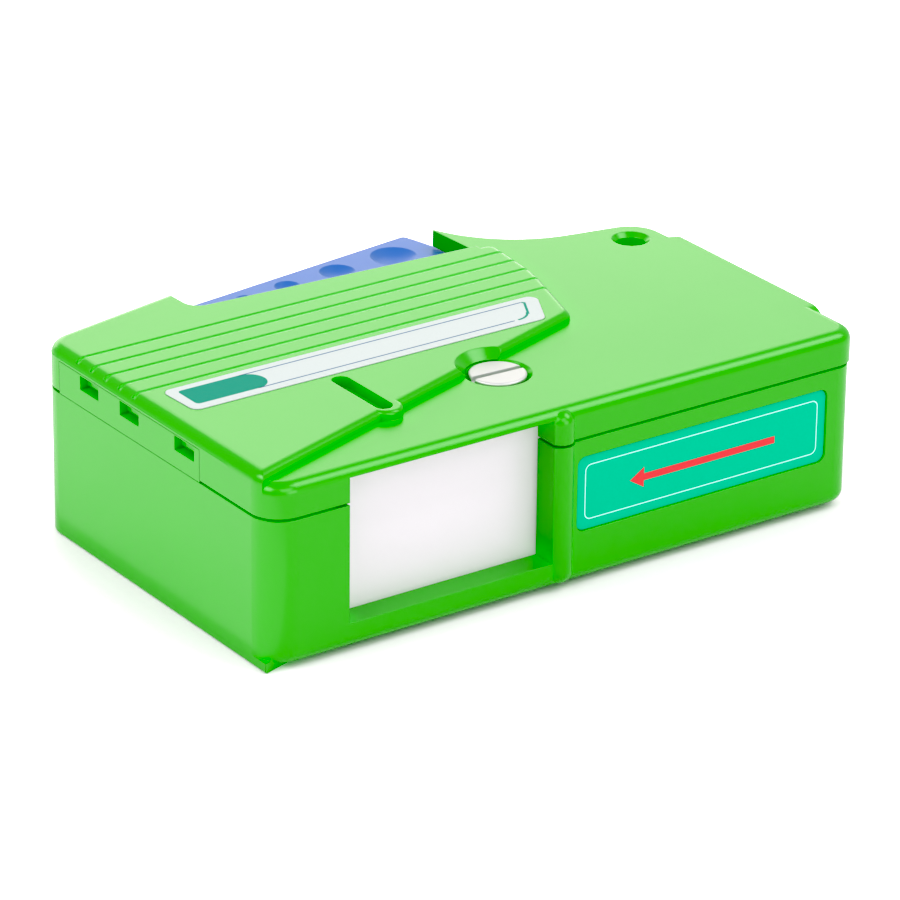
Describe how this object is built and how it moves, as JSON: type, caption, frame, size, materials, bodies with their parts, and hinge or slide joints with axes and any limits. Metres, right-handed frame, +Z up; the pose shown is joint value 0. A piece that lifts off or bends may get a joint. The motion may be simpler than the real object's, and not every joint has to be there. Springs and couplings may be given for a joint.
{
  "type": "fibre connector cleaning cassette",
  "caption": "Hand-held reel cleaner for fibre optic connectors: a green box with a thumb lever, a white sliding shutter over the cleaning window and cleaning tape on reels inside.",
  "frame": {"origin": "on the flat foot under the case, below the gear train", "axes": "+X along the front from the hook-rail end, +Y from the window wall to the lever side, +Z up"},
  "size_m": [0.1145, 0.0818, 0.033],
  "materials": {
    "housing_green": "gloss moulded ABS, green",
    "label_teal": "printed vinyl, satin",
    "label_white": "printed vinyl, satin",
    "lever_blue": "moulded plastic, semi-gloss",
    "gear_white": "moulded acetal",
    "shutter_white": "moulded acetal, satin",
    "mask_black": "moulded plastic",
    "pad_rubber": "firm rubber",
    "deck_grey": "moulded plastic",
    "reel_grey": "moulded plastic",
    "tape_used": "wound woven microfibre tape",
    "tape_clean": "woven microfibre tape",
    "steel_bright": "nickel plated steel",
    "steel_pin": "ground steel",
    "spring_steel": "spring steel",
    "brass_insert": "turned brass"
  },
  "bodies": {
    "housing": {"lower_case": "housing_green", "top_cover": "housing_green", "hook_rail": "housing_green", "side_label": "label_teal", "top_label": "label_white", "screw_insert": "brass_insert", "lever_pin": "steel_pin", "lever_spring": "spring_steel", "gear_pin": "steel_pin", "deck_plate": "deck_grey", "deck_screws": "steel_bright", "mask_plate": "mask_black", "backing_pad": "pad_rubber", "roller_pins": "steel_pin", "take_up_spindle": "steel_pin", "supply_spindle": "steel_pin", "tape_web": "tape_clean", "holding_pawl": "gear_white", "drag_spring": "spring_steel"},
    "lever": {"lever": "lever_blue", "sector_gear": "gear_white", "feed_pawl": "gear_white"},
    "shutter_gear": {"shutter_gear": "gear_white"},
    "shutter": {"shutter": "shutter_white"},
    "take_up": {"drive_ratchet": "gear_white", "take_up_reel": "reel_grey", "take_up_roll": "tape_used"},
    "supply": {"supply_reel": "reel_grey", "supply_roll": "tape_clean"},
    "guide_roller_left": {"guide_roller_left": "gear_white"},
    "guide_roller_right": {"guide_roller_right": "gear_white"},
    "cover_screw": {"cover_screw": "steel_bright"}
  },
  "joints": [
    {"name": "lever_press", "type": "hinge", "parent": "housing", "child": "lever", "pos_m": [-0.04, 0.027, 0.015], "axis": [0, 0, -1], "range_deg": [0, 13.2], "stiffness_Nm_per_rad": 0.25, "springref_deg": -11.46, "deforming": ["lever_spring", "feed_pawl"]},
    {"name": "gear_turn", "type": "hinge", "parent": "housing", "child": "shutter_gear", "pos_m": [-0.012, -0.00955, 0.005], "axis": [0, 0, 1], "range_deg": [0, 138.76]},
    {"name": "shutter_slide", "type": "slide", "parent": "housing", "child": "shutter", "axis": [1, 0, 0], "range_m": [0, 0.03778]},
    {"name": "take_up_turn", "type": "hinge", "parent": "housing", "child": "take_up", "pos_m": [-0.026, 0.0015, 0.012], "axis": [0, 0, -1], "continuous": true, "deforming": ["holding_pawl"]},
    {"name": "supply_turn", "type": "hinge", "parent": "housing", "child": "supply", "pos_m": [0.036, -0.0085, 0.012], "axis": [0, 0, -1], "continuous": true},
    {"name": "left_roller_turn", "type": "hinge", "parent": "housing", "child": "guide_roller_left", "pos_m": [-0.0455, -0.02425, 0.012], "axis": [0, 0, -1], "continuous": true},
    {"name": "right_roller_turn", "type": "hinge", "parent": "housing", "child": "guide_roller_right", "pos_m": [-0.003, -0.02425, 0.012], "axis": [0, 0, -1], "continuous": true},
    {"name": "screw_turn", "type": "hinge", "parent": "housing", "child": "cover_screw", "pos_m": [-0.0026, -0.0163, 0.03], "axis": [0, 0, 1], "continuous": true}
  ],
  "couplings": [
    {"joint": "gear_turn", "follows": "lever_press", "ratio": 10.511},
    {"joint": "shutter_slide", "follows": "lever_press", "m_per_rad": 0.16397},
    {"joint": "take_up_turn", "follows": "supply_turn", "ratio": 1.6667},
    {"joint": "left_roller_turn", "follows": "supply_turn", "ratio": 6.8182},
    {"joint": "right_roller_turn", "follows": "supply_turn", "ratio": 6.8182}
  ]
}
